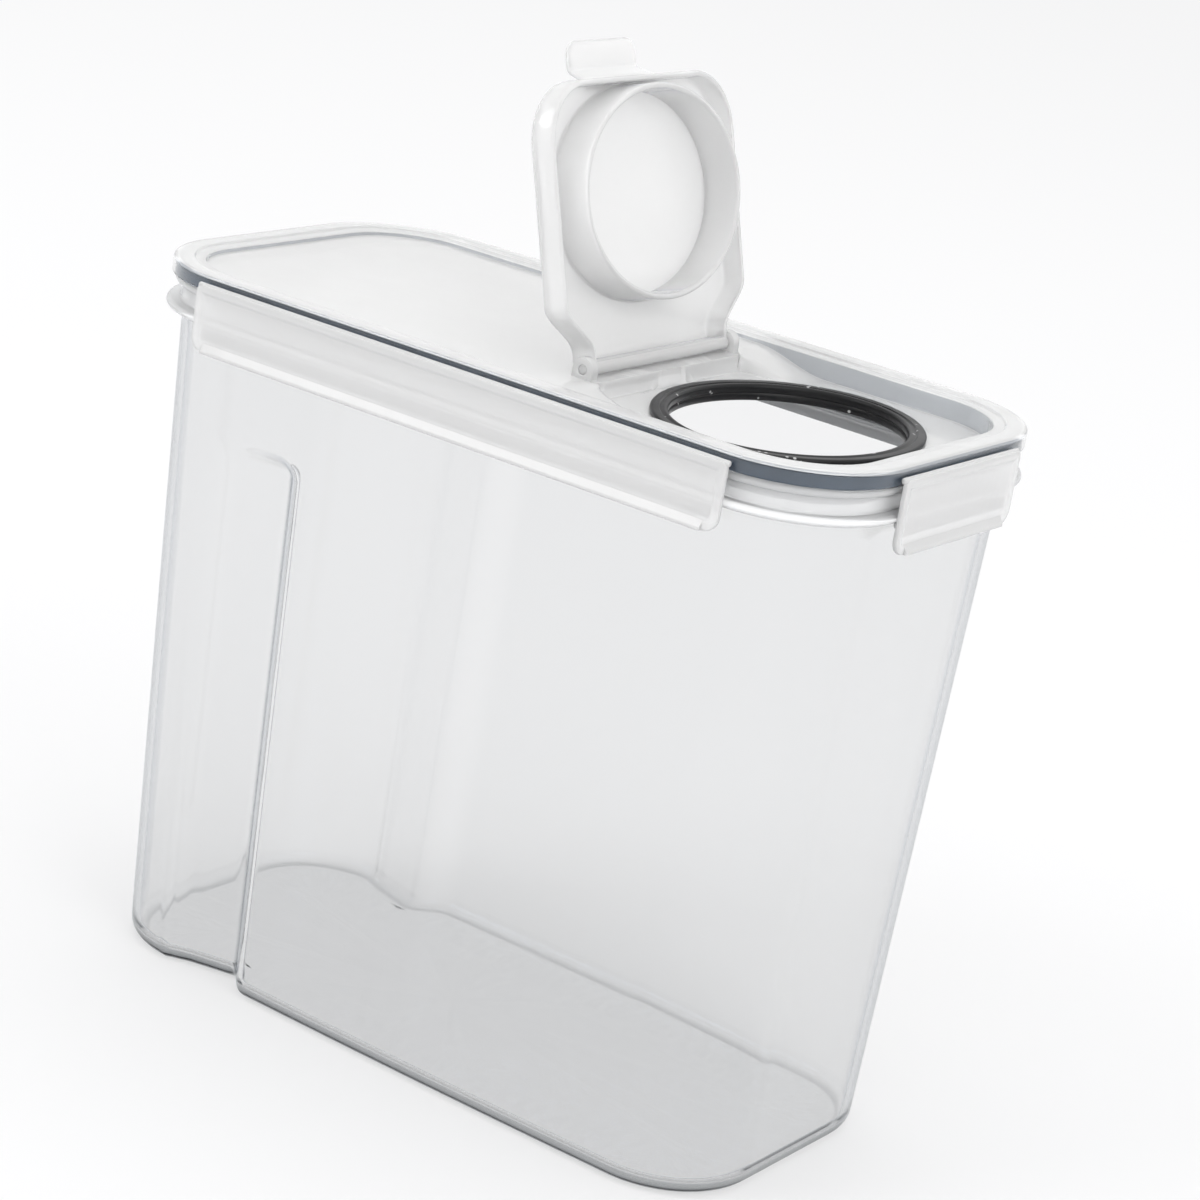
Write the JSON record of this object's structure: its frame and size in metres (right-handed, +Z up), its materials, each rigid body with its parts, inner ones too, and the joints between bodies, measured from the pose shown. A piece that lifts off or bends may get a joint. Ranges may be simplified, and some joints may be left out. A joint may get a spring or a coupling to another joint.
{
  "type": "cereal container with flip spout",
  "caption": "Tall clear dry-food keeper with finger grips, a gasketed lock-down lid and a flip cap that plugs an oval pour spout.",
  "frame": {"origin": "centre of the base where the container stands on the table", "axes": "+Z up, +X along the length toward the spout end, +Y across the width"},
  "size_m": [0.247, 0.129, 0.2901],
  "materials": {
    "clear_plastic": "clear, glossy",
    "milky_plastic": "milky translucent, satin gloss",
    "blue_gasket": "satin silicone",
    "black_seal": "glossy black rubber"
  },
  "bodies": {
    "keeper": {"container_body": "clear_plastic", "lid": "milky_plastic", "lid_gasket": "blue_gasket", "spout_seal": "black_seal"},
    "cap": {"flip_cap": "milky_plastic"},
    "front_lock": {"lock_front": "milky_plastic"},
    "back_lock": {"lock_back": "milky_plastic"},
    "spout_end_lock": {"lock_spout_end": "milky_plastic"},
    "rear_end_lock": {"lock_rear_end": "milky_plastic"}
  },
  "joints": [
    {"name": "cap_flip", "type": "hinge", "parent": "keeper", "child": "cap", "pos_m": [0.0236, 0, 0.2118], "axis": [0, 1, 0], "range_deg": [0, 106.5]},
    {"name": "front_lock_hinge", "type": "hinge", "parent": "keeper", "child": "front_lock", "pos_m": [0, -0.0622, 0.2086], "axis": [-1, 0, 0], "range_deg": [0, 110]},
    {"name": "back_lock_hinge", "type": "hinge", "parent": "keeper", "child": "back_lock", "pos_m": [0, 0.0622, 0.2086], "axis": [1, 0, 0], "range_deg": [0, 110]},
    {"name": "spout_end_lock_hinge", "type": "hinge", "parent": "keeper", "child": "spout_end_lock", "pos_m": [0.1212, 0, 0.2086], "axis": [0, -1, 0], "range_deg": [0, 110]},
    {"name": "rear_end_lock_hinge", "type": "hinge", "parent": "keeper", "child": "rear_end_lock", "pos_m": [-0.1212, 0, 0.2086], "axis": [0, 1, 0], "range_deg": [0, 110]}
  ]
}
